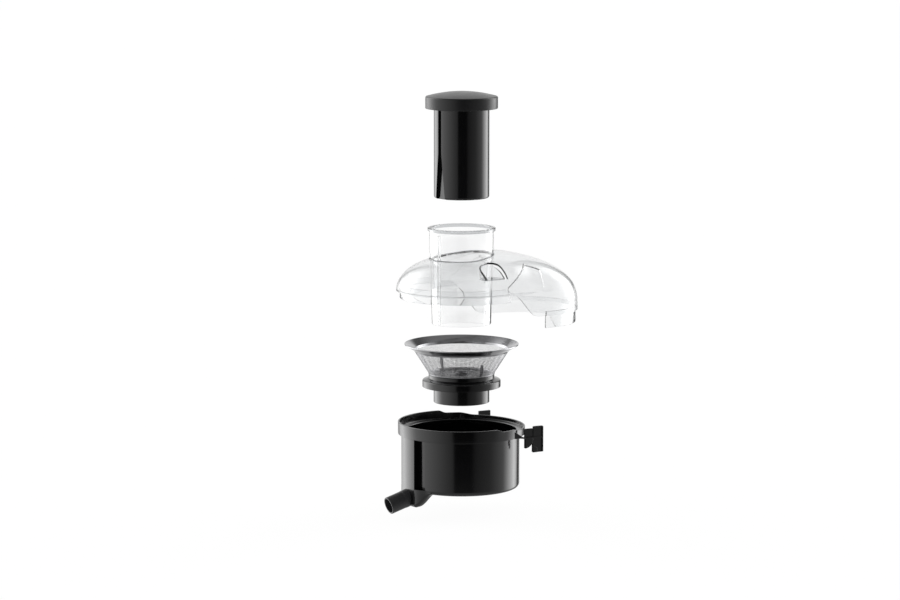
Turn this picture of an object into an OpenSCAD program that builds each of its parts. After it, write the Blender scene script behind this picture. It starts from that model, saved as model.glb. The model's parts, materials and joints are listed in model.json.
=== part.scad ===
// Centrifugal juicer unit: pusher, clear lid with feed chute, filter basket and juice bowl.
// Millimetres. +Z up along the common axis, +X towards the pulp outlet, spout at -X.
// Origin on the axis in the bowl's seat plane. Drawn apart, in its display pose.

/* [Display pose] */
// Height of the basket rim above the seat plane
basket_z = 189.125; // [120:0.005:260]
// Height of the lid's flange plane above the seat plane
lid_z = 259.75; // [180:0.05:330]
// Height of the pusher cap's underside above the seat plane
pusher_z = 496; // [400:0.5:600]

/* [Juice bowl] */
// Outer radius of the bowl's body
bowl_r = 75.9; // [60:0.1:100]
// Outer radius of the band round the bowl's rim
band_r = 83.2; // [65:0.1:110]
// Height of the band's underside
band_z = 71; // [50:0.5:90]
// Height of the band's rim
rim_z = 86.7; // [60:0.1:110]
// Height of the rim at the pulp outlet
sill_z = 83.2; // [55:0.1:100]
// Wall thickness of the bowl
bowl_wall = 2.5; // [1.5:0.1:4]
// Height of the labyrinth tube round the hub
tube_z = 28; // [10:0.5:40]

/* [Sump and spout] */
// Outer radius of the sump column
sump_r = 81.3; // [70:0.1:100]
// Half of the angle that the sump column spans
sump_half = 13; // [8:0.5:25]
// Half of the angle that the sump's belly spans, under the bowl
belly_half = 29; // [13:0.5:35]
// Height where the spout's axis meets the sump's wall
spout_z = -8.6; // [-12:0.1:-4]
// Depth of the sump below the seat plane
sump_drop = 18.5; // [5:0.5:30]
// Outer radius of the spout pipe
spout_r = 11.3; // [8:0.1:16]
// Inner radius of the spout pipe
spout_bore = 9.3; // [6:0.1:14]
// Angle of the spout below the horizontal
spout_tilt = 17; // [0:1:45]
// Length of spout outside the sump, on its axis
spout_len = 27; // [15:0.5:60]

/* [Pulp outlet brackets] */
// Distance from the middle to each bracket's outer face
bracket_y = 72.2; // [60:0.1:90]
// Thickness of the brackets and arms
bracket_t = 2.6; // [2:0.1:5]
// Reach of the brackets from the axis
bracket_x = 81.4; // [70:0.1:100]

/* [Filter basket] */
// Outer radius of the basket's flange
basket_r = 74.4; // [60:0.1:90]
// Radius of the screen at its top
screen_top_r = 58.5; // [45:0.1:70]
// Radius of the screen at its bottom
screen_low_r = 42.6; // [30:0.1:55]
// Depth of the grater disc's top below the flange
disc_z = 40.4; // [30:0.1:60]
// Thickness of the screen and the grater disc
sheet = 1.2; // [0.6:0.1:2]
// Outer radius of the collar
collar_r = 51.2; // [45:0.1:60]
// Outer radius of the drive hub's sleeve
hub_r = 36.5; // [30:0.1:42]
// Number of teeth in each ring of the grater disc
teeth = 14; // [8:1:24]

/* [Lid] */
// Radius of the lid over the bowl
lid_r = 85.2; // [75:0.1:100]
// Height of the lid's crown above its flange plane
crown = 46.8; // [30:0.1:60]
// Radius of the pulp hood's end
hood_r = 76.7; // [60:0.1:90]
// Distance from the axis to the centre of the hood's end
hood_x = 86; // [60:0.5:110]
// Angle of the clamp pocket, from the pulp outlet
pocket_a = -82; // [-100:1:-60]
// Height of the clamp pocket's floor above the flange plane
pocket_z = 21.5; // [15:0.5:26]
// Depth of the hood's skirt below the flange plane
skirt_low = 46.6; // [32:0.1:60]
// Wall thickness of the lid
lid_wall = 2.2; // [1.5:0.1:4]

/* [Feed chute] */
// Height of the chute's rim above the flange plane
chute_top = 81.6; // [60:0.1:110]
// Outer radius of the chute above the lid
chute_r = 42; // [30:0.1:50]
// Depth of the chute's lower end below the flange plane
chute_low = 44; // [30:0.1:50]

/* [Pusher] */
// Radius of the pusher's body
pusher_r = 36; // [25:0.1:45]
// Length of the pusher's body below its cap
pusher_len = 116; // [80:0.5:140]
// Radius of the pusher's cap
cap_r = 47; // [40:0.1:55]
// Height of the cap's side band
cap_band = 15.4; // [8:0.1:25]

/* [Drive] */
// Radius of the drive spindle
spindle_r = 4; // [3:0.1:8]
// Radial gap between the spindle and its bushes
spindle_gap = 0.05; // [0.01:0.01:0.1]
// Radius of the drive socket under the bowl
socket_r = 5; // [3:0.1:8]

/* [Hidden] */
$fn = 96;
e = 0.01;
ceil_z = 12;            // underside of the bowl's raised centre
seam_low = 41;          // chute radius at the lid
tang = asin((lid_r - hood_r) / hood_x);

function clamp01(t) = max(0, min(1, t));
function ease(t) = let (u = clamp01(t)) u * u * (3 - 2 * u);

// Half-width, crest, lower edge and squareness of the lid at station x, for a surface t inside the outer one
function tx1(t) = (lid_r - t) * sin(tang);
function tx2(t) = hood_x + (hood_r - t) * sin(tang);
function half_w(x, t) =
    x < tx1(t) ? sqrt(max(0, pow(lid_r - t, 2) - x * x)) :
    x < tx2(t) ? (lid_r - t) / cos(tang) - x * tan(tang) :
    sqrt(max(0, pow(hood_r - t, 2) - pow(x - hood_x, 2)));
function crest_arc(x) = x < 50 ? crown : crown - 150.3 + sqrt(pow(150.3, 2) - pow(x - 50, 2));
function crest_end(x, t) = x < 120 ? 1 : pow(max(0, 1 - pow((x - 120) / (hood_x + hood_r - t - 120), 5)), 0.2);
function edge_z(x) = -30 * ease((x - 32) / 38);
function crest_z(x, t) =
    x < 0 ? (crown - t) * sqrt(max(0, 1 - pow(x / (lid_r - t), 2))) :
    edge_z(x) + (crest_arc(x) - t - edge_z(x)) * crest_end(x, t);
function square_n(x) = 2 + 1.2 * ease((x + 20) / 80);
function dome_r(z) = lid_r * sqrt(max(0, 1 - pow(z / crown, 2)));

// Closed shell between the outer surface and the one lid_wall inside it. Each surface ends in one point.
module lid_shell(ns, na) {
    row = na + 1;
    m = (ns - 1) * row;
    pts = concat([for (t = [0, lid_wall]) for (i = [1 : ns - 1]) let (
            x = -(lid_r - t) + (lid_r + hood_x + hood_r - 2 * t) * (1 - cos(180 * i / ns)) / 2,
            w = half_w(x, t), b = edge_z(x), c = crest_z(x, t), n = square_n(x))
        for (j = [0 : na]) let (a = 180 * j / na, k = cos(a))
            [x, w * sign(k) * pow(abs(k), 2 / n), b + (c - b) * (j == 0 || j == na ? 0 : pow(sin(a), 2 / n))]],
        [for (t = [0, lid_wall]) for (end = [0, 1]) end ? [hood_x + hood_r - t, 0, edge_z(200)] : [t - lid_r, 0, 0]]);
    function id(s, i, j) = i == 0 ? 2 * m + 2 * s : i == ns ? 2 * m + 2 * s + 1 : s * m + (i - 1) * row + j;
    faces = concat(
        [for (i = [0 : ns - 1]) for (j = [0 : na - 1]) for (s = [0, 1]) for (h = [0, 1])
            if (h ? i > 0 : i < ns - 1) let (
                p = id(s, i, j), q = h ? id(s, i + 1, j + 1) : id(s, i + 1, j), r = h ? id(s, i, j + 1) : id(s, i + 1, j + 1))
                s ? [p, r, q] : [p, q, r]],
        [for (i = [0 : ns - 1]) for (j = [0, na]) for (h = [0, 1]) let (
                p = id(0, i, j), q = h ? id(1, i + 1, j) : id(1, i, j), r = h ? id(0, i + 1, j) : id(1, i + 1, j))
                j ? [p, r, q] : [p, q, r]]);
    polyhedron(pts, faces, 6);
}

module ring(r1, r2, z1, z2) {
    difference() {
        translate([0, 0, z1]) cylinder(r = r2, h = z2 - z1);
        translate([0, 0, z1 - 1]) cylinder(r = r1, h = z2 - z1 + 2);
    }
}

// Wedge of the plan between two polar angles, for cutting rings
module sector(a1, a2, z1, z2, r = 130) {
    translate([0, 0, z1]) rotate([0, 0, a1]) rotate_extrude(angle = a2 - a1) square([r, z2 - z1]);
}

// ---- Pusher ----
module pusher_cap() {
    color([0.10, 0.10, 0.11]) translate([0, 0, pusher_z]) union() {
        rotate_extrude() polygon(concat(
            [[0, 0], [cap_r - 0.8, 0], [cap_r, 0.8], [cap_r, cap_band - 2]],
            [for (a = [0 : 15 : 90]) [cap_r - 2.5 + 2.5 * cos(a) , cap_band - 2 + 2.0 * sin(a)]],
            [for (i = [1 : 11]) let (r = (cap_r - 2.5) * (1 - i / 12)) [r, cap_band + 6.5 * (1 - pow(r / (cap_r - 2.5), 2))]],
            [[0, cap_band + 6.5]]));
        ring(27, 30.7, -7, e);
    }
}

module pusher_body() {
    color([0.03, 0.03, 0.035]) translate([0, 0, pusher_z]) difference() {
        rotate_extrude() polygon([[0, -pusher_len], [pusher_r - 3, -pusher_len], [pusher_r - 0.9, -pusher_len + 0.9],
            [pusher_r, -pusher_len + 3], [pusher_r, 0], [30.8, 0], [30.8, -pusher_len + 4], [0, -pusher_len + 4]]);
        // Key groove, wider towards the lower end
        translate([-pusher_r - 3, 0, -58]) rotate([0, 90, 0]) linear_extrude(6.4)
            polygon([[-59, -2.2], [0, -2.2], [58.1, -6], [58.1, 6], [0, 2.2], [-59, 2.2]]);
    }
}

// ---- Lid ----
module pocket_plan(r) {
    translate([65, 0]) circle(r = r);
    translate([65, -r]) square([40, 2 * r]);
}
module pocket_cut(a) {
    rotate([0, 0, a]) translate([0, 0, pocket_z]) linear_extrude(40) pocket_plan(14);
}
module pocket_cup(a) {
    // floor and round back wall, trimmed to stay just under the dome's outer surface
    rotate([0, 0, a]) intersection() {
        difference() {
            translate([0, 0, pocket_z - 2]) linear_extrude(40) pocket_plan(16);
            translate([0, 0, pocket_z]) linear_extrude(50) pocket_plan(14);
        }
        union() {
            cylinder(r1 = 78, r2 = 75, h = 22);
            for (i = [0 : 7]) translate([0, 0, 22 + 2 * i]) cylinder(r1 = dome_r(22 + 2 * i) - 0.9, r2 = dome_r(24 + 2 * i) - 0.9, h = 2);
        }
    }
}
module lid_cover() {
    color([0.92, 0.94, 0.95, 0.35]) translate([0, 0, lid_z]) union() {
        difference() {
            lid_shell(44, 28);
            translate([0, 0, 20]) cylinder(r = seam_low + 0.02, h = 60);
            pocket_cut(pocket_a);
        }
        pocket_cup(pocket_a);
        // Lip that sits inside the bowl's rim, and the flange above it
        difference() {
            union() {
                ring(78.6, 80.6, -9.7, 12.5);
                ring(80, 84.2, 0, 2);
            }
            sector(-66, 66, -20, 30);
        }
        // Skirt round the hood's end
        translate([hood_x, 0, 0]) difference() {
            union() {
                ring(hood_r - 4.6, hood_r - 2.6, -skirt_low, -24);
                ring(hood_r - 4.6, hood_r - 1.4, -29.5, -24.5);
            }
            translate([-204, -100, -60]) cube([200, 200, 60]);
        }
    }
}

module feed_chute() {
    color([0.92, 0.94, 0.95, 0.35]) translate([0, 0, lid_z]) union() {
        rotate_extrude() polygon([[36.8, -chute_low], [38.8, -chute_low], [seam_low, 44], [seam_low, 48], [chute_r, 51],
            [chute_r, chute_top - 5], [chute_r + 2.2, chute_top - 4], [chute_r + 2.2, chute_top - 1],
            [chute_r + 1.2, chute_top], [38.8, chute_top], [37.8, chute_top - 1], [37.8, chute_top - 4],
            [39.9, chute_top - 5.5], [39, 44]]);
        // Inner key rib
        difference() {
            translate([-40.2, -1.4, -15]) cube([6, 2.8, 88]);
            ring(40.2, 60, -16, 80);
        }
    }
}

// ---- Filter basket ----
module basket_rim() {
    color([0.78, 0.79, 0.80]) translate([0, 0, basket_z]) rotate_extrude() polygon([
        [basket_r, 0], [basket_r, -1.3], [62.3, -9.1], [screen_top_r + 0.6, -14.5], [screen_top_r - 0.7, -14.5],
        [61.2, -8.1], [basket_r - 1.4, 0]]);
}

module filter_mesh() {
    h = disc_z - 14.5;
    color([0.72, 0.73, 0.75]) translate([0, 0, basket_z]) difference() {
        rotate_extrude() polygon([[screen_low_r, -disc_z], [screen_top_r + 0.6, -14.52], [screen_top_r - 0.4, -14.52],
            [screen_low_r - 1, -disc_z + 1.2], [screen_low_r - 1, -disc_z]]);
        // Slots stand for the fine screen
        for (i = [0 : 23]) rotate([0, 0, i * 15]) translate([40, -1.6, -37.5]) cube([25, 3.2, 20]);
    }
}

module grater_disc() {
    color([0.62, 0.63, 0.65]) translate([0, 0, basket_z - disc_z]) union() {
        difference() {
            translate([0, 0, -sheet]) cylinder(r = screen_low_r - 1.05, h = sheet);
            for (i = [0 : 2]) rotate([0, 0, i * 120 + 30]) translate([24.5, 0, -5]) cylinder(r = 1.6, h = 10, $fn = 24);
        }
        for (k = [0 : 3]) for (i = [0 : teeth - 1]) rotate([0, 0, (i + 0.25 * k) * 360 / teeth])
            translate([[14, 19.5, 29.8, 35][k], 0, -e]) cylinder(r1 = 1.4, r2 = 0.25, h = 1.1, $fn = 4);
    }
}

module pulp_fins() {
    color([0.6, 0.61, 0.63]) translate([0, 0, basket_z - disc_z]) for (a = [-81, 99])
        rotate([0, 0, a]) translate([0, 1.2, 0]) rotate([90, 0, 0]) linear_extrude(2.4)
            polygon([[39.9, 0], [40.7, 0], [43.2, 5], [45.2, 10], [45.4, 16.5], [44.6, 17.2], [42.4, 17]]);
}

module disc_centre_cap() {
    color([0.75, 0.76, 0.78]) translate([0, 0, basket_z - disc_z]) rotate_extrude() polygon([
        [0, 0], [8.4, 0], [8.4, 1.6], [7.4, 3.4], [5, 4.6], [2.4, 5.1], [0, 5.2]]);
}

module hub_screws() {
    color([0.7, 0.7, 0.72]) translate([0, 0, basket_z - disc_z]) for (i = [0 : 2])
        rotate([0, 0, i * 120 + 30]) translate([24.5, 0, 0]) difference() {
            union() {
                cylinder(r = 2.6, h = 0.9, $fn = 32);
                translate([0, 0, -3.9]) cylinder(r = 1.5, h = 4, $fn = 24);
            }
            translate([-2, -0.4, 0.5]) cube([4, 0.8, 1]);
        }
}

module basket_collar() {
    color([0.03, 0.03, 0.035]) translate([0, 0, basket_z]) rotate_extrude() polygon([
        [hub_r + 0.02, -disc_z - sheet], [screen_low_r - 1, -disc_z - sheet], [screen_low_r - 1, -disc_z],
        [screen_low_r, -disc_z], [screen_low_r + 0.4, -disc_z - 1], [screen_low_r + 0.4, -44.2], [screen_low_r + 1.6, -45.2],
        [47.2, -45.8], [49.6, -46.6], [50.8, -48], [collar_r, -50], [collar_r, -55.9], [collar_r - 0.5, -56.4],
        [48.7, -56.4], [48.7, -50.5], [47.7, -49.5], [hub_r + 0.02, -49.5]]);
}

module drive_hub() {
    color([0.03, 0.03, 0.035]) translate([0, 0, basket_z]) difference() {
        rotate_extrude() polygon([[8.5, -41.6], [hub_r, -41.6], [hub_r, -76.3], [hub_r - 0.5, -76.8], [33.5, -76.8],
            [33.5, -45.8], [32.3, -44.6], [14, -44.6], [14, -55], [8.5, -55]]);
        for (i = [0 : 2]) rotate([0, 0, i * 120 + 30]) translate([24.5, 0, -46]) cylinder(r = 1.52, h = 10, $fn = 24);
    }
}

module coupling_insert() {
    color([0.75, 0.60, 0.32]) translate([0, 0, basket_z]) difference() {
        translate([0, 0, -55]) cylinder(r = 8.48, h = 13.3);
        translate([0, 0, -56]) cylinder(r = 6.62, h = 12.4, $fn = 6);
    }
}

// ---- Drive group, in the bowl ----
module drive_spindle() {
    color([0.7, 0.71, 0.73]) union() {
        translate([0, 0, 2]) cylinder(r = spindle_r, h = 24.5, $fn = 64);
        translate([0, 0, 26.5]) cylinder(r = 6.5, h = 9.3, $fn = 6);
        translate([0, 0, 35.8]) cylinder(r1 = 6.5, r2 = 5.3, h = 1.2, $fn = 6);
    }
}

module drive_dog() {
    color([0.12, 0.12, 0.13]) difference() {
        union() {
            translate([0, 0, -8]) cylinder(r = 9, h = 15.5);
            for (i = [0 : 5]) rotate([0, 0, i * 60]) translate([7, -1.8, -7]) cube([6.4, 3.6, 10.5]);
            translate([0, 0, 3]) cylinder(r = 14, h = 3);
        }
        translate([0, 0, -9]) cylinder(r = socket_r, h = 11, $fn = 64);
        translate([0, 0, 1]) cylinder(r = spindle_r, h = 10, $fn = 64);
    }
}

module retaining_clip() {
    color([0.6, 0.6, 0.62]) difference() {
        translate([0, 0, 8.1]) cylinder(r = 6.4, h = 0.9, $fn = 48);
        translate([0, 0, 7]) cylinder(r = spindle_r, h = 4, $fn = 64);
        translate([0, -1.6, 7]) cube([10, 3.2, 4]);
    }
}

module bush(z, h) {
    difference() {
        translate([0, 0, z]) cylinder(r = 6.5, h = h, $fn = 64);
        translate([0, 0, z - 1]) cylinder(r = spindle_r + spindle_gap, h = h + 2, $fn = 64);
    }
}
module spindle_bush_lower() {
    color([0.72, 0.58, 0.34]) bush(9.4, 5);
}
module spindle_bush_upper() {
    color([0.72, 0.58, 0.34]) bush(18, 5);
}

module bearing_carrier() {
    color([0.66, 0.67, 0.69]) difference() {
        rotate_extrude() polygon([[6.5, 9.4], [20.5, 9.4], [20.5, ceil_z - 0.1], [20.4, ceil_z], [9, ceil_z], [9, 23], [6.5, 23]]);
        for (i = [0 : 2]) rotate([0, 0, i * 120]) translate([16.8, 0, 5]) cylinder(r = 1.6, h = 10, $fn = 24);
    }
}

module carrier_screws() {
    color([0.7, 0.7, 0.72]) for (i = [0 : 2]) rotate([0, 0, i * 120]) translate([16.8, 0, 0]) difference() {
        union() {
            translate([0, 0, 8]) cylinder(r = 2.9, h = 1.4, $fn = 32);
            translate([0, 0, 9.3]) cylinder(r = 1.5, h = 8, $fn = 24);
        }
        translate([-3, -0.4, 7.5]) cube([6, 0.8, 1.1]);
    }
}

module shaft_seal() {
    color([0.05, 0.05, 0.05]) difference() {
        translate([0, 0, 23]) cylinder(r1 = 8.8, r2 = 7.6, h = 2.6, $fn = 64);
        translate([0, 0, 22]) cylinder(r = spindle_r + spindle_gap, h = 5, $fn = 64);
    }
}

// ---- Juice bowl ----
module sump_outer() {
    rotate([0, 0, 180 - sump_half]) rotate_extrude(angle = 2 * sump_half)
        polygon([[66, 1], [66, 10], [70, band_z + e], [sump_r, band_z + e], [sump_r, 1]]);
    // deep belly, and a shallower step at each side of it
    rotate([0, 0, 180 - belly_half + 6]) rotate_extrude(angle = 2 * belly_half - 12) polygon([
        [60, 0.6], [72, 2.2], [sump_r - 3, 6], [sump_r - 0.2, 3], [sump_r - 0.2, -10], [sump_r - 1.2, -14.4],
        [sump_r - 3.6, 1 - sump_drop], [sump_r - 7, -sump_drop], [sump_r - 10, 1 - sump_drop], [64, -9], [60, 0.2]]);
    rotate([0, 0, 180 - belly_half]) rotate_extrude(angle = 2 * belly_half) polygon([
        [61, 0.5], [72, 2], [77.4, 5], [78.2, 2], [78.2, -5], [76, -8.4], [72, -9], [65, -5], [61, 0.3]]);
}
module sump_inner() {
    a = sump_half - 2;
    rotate([0, 0, 180 - a]) rotate_extrude(angle = 2 * a) polygon([
        [64, bowl_wall + 0.2], [64, 40], [70, 64], [sump_r - 2.4, 68], [sump_r - 2.4, -4], [67, -4]]);
    c = belly_half - 8;
    rotate([0, 0, 180 - c]) rotate_extrude(angle = 2 * c) polygon([
        [63, 2.8], [71.5, 2.8], [sump_r - 4, 3.4], [sump_r - 2.6, 1.5], [sump_r - 2.6, -10], [sump_r - 3.8, -13.2],
        [sump_r - 5.4, 3 - sump_drop], [sump_r - 7.4, 2.5 - sump_drop], [sump_r - 10, 3.3 - sump_drop], [66, -7], [63, 0]]);
}
module spout_axis(r, from, len) {
    translate([-sump_r, 0, spout_z]) rotate([0, -90 - spout_tilt, 0]) translate([0, 0, from]) cylinder(r = r, h = len);
}

module bracket(side) {
    y0 = side > 0 ? bracket_y - bracket_t : -bracket_y;
    // plate, with its arm to the band
    translate([0, y0 + bracket_t, 0]) rotate([90, 0, 0]) linear_extrude(bracket_t)
        polygon([[20, 69.6], [54.6, 69.6], [54.6, 57], [66, 57], [66, 50.6], [bracket_x, 50.6], [bracket_x, 85],
            [67.5, 85], [67.5, 82.5], [54.6, 82.5], [54.6, 72.4], [36, sill_z], [20, sill_z]]);
    // rib and end flange on the outer face
    y1 = side > 0 ? bracket_y - e : -bracket_y - 1.6;
    translate([54.6, y1, 69.6]) cube([23.4, 1.6 + e, 2]);
    translate([bracket_x - 1.6, y1, 50.6]) cube([1.6, 1.6 + e, 34.4]);
    // gusset under the rib
    translate([54.6, side > 0 ? bracket_y + 1.59 : -bracket_y + e, 0]) rotate([90, 0, 0]) linear_extrude(1.6)
        polygon([[0, 58], [3, 57.2], [7, 57.8], [10, 60], [11.3, 64], [11.3, 69.7], [0, 69.7]]);
}

module juice_bowl() {
    color([0.03, 0.03, 0.035]) difference() {
        union() {
            // body, band
            rotate_extrude() polygon([[24, 0], [70, 0], [72.3, 0.5], [74.2, 1.8], [75.4, 3.7], [bowl_r, 6], [bowl_r, band_z],
                [band_r - 0.4, band_z], [band_r, band_z + 0.4], [band_r, rim_z - 0.5], [band_r - 0.5, rim_z], [81, rim_z],
                [81, 75.8], [71.5, 75.8], [71.5, 72], [73.4, 70], [73.4, 6.5], [71.8, 3.4], [69, 2.5],
                [42, 2.5], [42, tube_z - 0.5], [41.5, tube_z], [39.5, tube_z], [39, tube_z - 0.5], [39, 2.5], [26.5, 2.5],
                [26.5, ceil_z + 1.5], [25.5, ceil_z + 2.5], [13, ceil_z + 2.5], [13, 22], [9.02, 22], [9.02, ceil_z], [24, ceil_z]]);
            for (s = [-1, 1]) difference() {
                bracket(s);
                translate([0, 0, 75.8]) cylinder(r = 81, h = 20);
                cylinder(r = 73.4, h = 80);
            }
            sump_outer();
            // screw bosses over the carrier
            for (i = [0 : 2]) rotate([0, 0, i * 120]) translate([16.8, 0, ceil_z + 2]) cylinder(r = 3.4, h = 4.5, $fn = 48);
        }
        // the rim is lower round the pulp outlet
        difference() {
            union() {
                sector(-80, 80, sill_z, rim_z + 5);
                sector(-57, 57, sill_z - 2.7, rim_z + 5);
            }
            cylinder(r = 60, h = 120);
        }
        sump_inner();
        spout_axis(spout_bore, -5, 9);
        for (i = [0 : 2]) rotate([0, 0, i * 120]) translate([16.8, 0, 10]) cylinder(r = 1.52, h = 8, $fn = 24);
    }
}

module juice_spout() {
    color([0.06, 0.06, 0.065]) difference() {
        union() {
            spout_axis(spout_r, -6, spout_len + 6);
            spout_axis(spout_r + 0.3, -6, 11);
        }
        spout_axis(spout_bore, -10, spout_len + 12);
        translate([0, 0, -40]) cylinder(r = sump_r, h = 80);
    }
}

pusher_cap();
pusher_body();
lid_cover();
feed_chute();
basket_rim();
filter_mesh();
grater_disc();
pulp_fins();
disc_centre_cap();
hub_screws();
basket_collar();
drive_hub();
coupling_insert();
drive_spindle();
drive_dog();
retaining_clip();
spindle_bush_upper();
spindle_bush_lower();
shaft_seal();
bearing_carrier();
carrier_screws();
juice_bowl();
juice_spout();
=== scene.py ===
"""Looks of the juicing unit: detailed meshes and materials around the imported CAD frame.

Millimetres in the shape code, metres in Blender. +Z up, +X towards the pulp outlet.
"""
import bpy
import bmesh
import json
import math
from mathutils import Vector, Matrix

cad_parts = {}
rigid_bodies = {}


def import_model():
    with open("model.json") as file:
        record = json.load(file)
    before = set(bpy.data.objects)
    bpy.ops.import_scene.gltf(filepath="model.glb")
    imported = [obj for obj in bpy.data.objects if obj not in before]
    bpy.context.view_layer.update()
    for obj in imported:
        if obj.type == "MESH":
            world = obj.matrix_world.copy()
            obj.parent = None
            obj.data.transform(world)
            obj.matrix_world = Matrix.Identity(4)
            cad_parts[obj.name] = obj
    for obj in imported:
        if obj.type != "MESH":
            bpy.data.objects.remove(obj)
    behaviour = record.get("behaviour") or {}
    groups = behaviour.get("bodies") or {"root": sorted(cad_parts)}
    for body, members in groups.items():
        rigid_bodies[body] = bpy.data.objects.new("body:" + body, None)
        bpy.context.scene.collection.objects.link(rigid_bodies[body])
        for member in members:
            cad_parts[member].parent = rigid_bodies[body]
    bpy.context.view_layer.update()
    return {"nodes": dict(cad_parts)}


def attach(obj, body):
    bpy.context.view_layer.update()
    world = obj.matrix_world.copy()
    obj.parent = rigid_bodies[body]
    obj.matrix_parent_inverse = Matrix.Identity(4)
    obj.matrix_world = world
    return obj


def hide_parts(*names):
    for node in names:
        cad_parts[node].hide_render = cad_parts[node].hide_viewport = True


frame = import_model()
NODES = frame["nodes"]
MM = 0.001

# heights of each group's origin in the rest pose, as in the CAD
BASKET_Z = 189.125
LID_Z = 259.75
PUSHER_Z = 496.0


# ---------------------------------------------------------------- mesh helpers
def rad(a):
    return math.radians(a)


def ease(t):
    """Smooth step from 0 to 1."""
    t = max(0.0, min(1.0, t))
    return t * t * (3 - 2 * t)


def lerp(a, b, t):
    return a + (b - a) * t


def make(name, verts, faces, body, mat, node=None, angle=32, merge=True):
    """A smooth-shaded mesh object from points in mm, riding on a body."""
    me = bpy.data.meshes.new(name)
    me.from_pydata([(x * MM, y * MM, z * MM) for x, y, z in verts], [], faces)
    bm = bmesh.new()
    bm.from_mesh(me)
    if merge:
        bmesh.ops.remove_doubles(bm, verts=bm.verts, dist=2e-7)
        bmesh.ops.dissolve_degenerate(bm, edges=bm.edges, dist=1e-7)
    bmesh.ops.recalc_face_normals(bm, faces=bm.faces)
    bm.to_mesh(me)
    bm.free()
    finish_shade(me, angle)
    ob = bpy.data.objects.new(name, me)
    bpy.context.scene.collection.objects.link(ob)
    me.materials.append(mat)
    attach(ob, body)
    if node:
        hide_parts(node)
    return ob


def finish_shade(me, angle=32):
    """Smooth shading, kept crisp at edges sharper than the angle."""
    for p in me.polygons:
        p.use_smooth = True
    me.set_sharp_from_angle(angle=rad(angle))


def fillet(pts, seg=5):
    """A closed outline of (x, y) or (x, y, radius) points, with its corners rounded."""
    out = []
    n = len(pts)
    for i, p in enumerate(pts):
        r = p[2] if len(p) > 2 else 0
        b = Vector(p[:2])
        if r <= 0:
            out.append((b.x, b.y))
            continue
        a, c = Vector(pts[i - 1][:2]), Vector(pts[(i + 1) % n][:2])
        u, v = (a - b), (c - b)
        lu, lv = u.length, v.length
        u.normalize()
        v.normalize()
        half = max(1e-4, math.acos(max(-1, min(1, u.dot(v)))) / 2)
        t = min(r / math.tan(half), 0.48 * lu, 0.48 * lv)
        rr = t * math.tan(half)
        mid = (u + v)
        if mid.length < 1e-6:
            out.append((b.x, b.y))
            continue
        centre = b + mid.normalized() * (rr / math.sin(half))
        s, e = b + u * t - centre, b + v * t - centre
        a0, a1 = math.atan2(s.y, s.x), math.atan2(e.y, e.x)
        d = (a1 - a0 + math.pi) % (2 * math.pi) - math.pi
        for k in range(seg + 1):
            a = a0 + d * k / seg
            out.append((centre.x + rr * math.cos(a), centre.y + rr * math.sin(a)))
    return out


def angles(n=192, breaks=(), eps=0.1, gap=0.35):
    """Angles round a full turn in degrees, with a tight pair at each break for a crisp step."""
    a = {round(360.0 * i / n, 4) for i in range(n)}
    for b in breaks:
        b = b % 360
        a = {v for v in a if abs((v - b + 180) % 360 - 180) > gap}
        a |= {round((b - eps) % 360, 4), round((b + eps) % 360, 4)}
    return sorted(a)


def sweep(name, prof, body, mat, node=None, n=192, breaks=(), arc=None, z0=0.0, angle=32, centre=(0, 0)):
    """Sweeps a closed (r, z) outline round the vertical axis. prof is a list, or a function of the angle."""
    get = prof if callable(prof) else (lambda a: prof)
    if arc is None:
        th = angles(n, breaks)
    else:
        th = [lerp(arc[0], arc[1], i / n) for i in range(n + 1)]
    rings = [get(a) for a in th]
    m = len(rings[0])
    verts = [(centre[0] + r * math.cos(rad(a)), centre[1] + r * math.sin(rad(a)), z0 + z)
             for a, ring in zip(th, rings) for r, z in ring]
    faces = []
    count = len(th)
    for i in range(count if arc is None else count - 1):
        i2 = (i + 1) % count
        for k in range(m):
            k2 = (k + 1) % m
            faces.append((i * m + k, i2 * m + k, i2 * m + k2, i * m + k2))
    if arc is not None:
        faces.append(tuple(range(m)))
        faces.append(tuple(reversed(range((count - 1) * m, count * m))))
    return make(name, verts, faces, body, mat, node, angle)


def prism(name, poly, lo, hi, axis, body, mat, node=None, bevel=0.4, seg=3, angle=32):
    """Extrudes an outline along axis: 'y' takes (x, z) points, 'z' takes (x, y) and 'x' takes (y, z)."""
    def at(p, h):
        return {"y": (p[0], h, p[1]), "z": (p[0], p[1], h), "x": (h, p[0], p[1])}[axis]
    n = len(poly)
    verts = [at(p, lo) for p in poly] + [at(p, hi) for p in poly]
    faces = [(i, (i + 1) % n, n + (i + 1) % n, n + i) for i in range(n)]
    faces += [tuple(range(n)), tuple(reversed(range(n, 2 * n)))]
    ob = make(name, verts, faces, body, mat, node, angle)
    if bevel:
        add_bevel(ob, bevel, seg)
    return ob


def add_bevel(ob, width, seg=3, angle=40):
    """Rounds the edges that are sharper than the angle."""
    m = ob.modifiers.new("edge", "BEVEL")
    m.width = width * MM
    m.segments = seg
    m.limit_method = "ANGLE"
    m.angle_limit = rad(angle)
    m.harden_normals = False
    m.miter_outer = "MITER_ARC"
    return m


def apply_modifiers(ob, angle=32):
    """Replaces the mesh by its modified self."""
    dg = bpy.context.evaluated_depsgraph_get()
    me = bpy.data.meshes.new_from_object(ob.evaluated_get(dg))
    ob.modifiers.clear()
    ob.data = me
    finish_shade(me, angle)


def cut(ob, tools, op="DIFFERENCE", angle=32):
    """Applies exact booleans and removes the tools."""
    for t in tools:
        m = ob.modifiers.new("cut", "BOOLEAN")
        m.operation = op
        m.solver = "EXACT"
        m.object = t
        bpy.context.view_layer.update()
        apply_modifiers(ob, angle)
    for t in tools:
        bpy.data.objects.remove(t)


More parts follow.
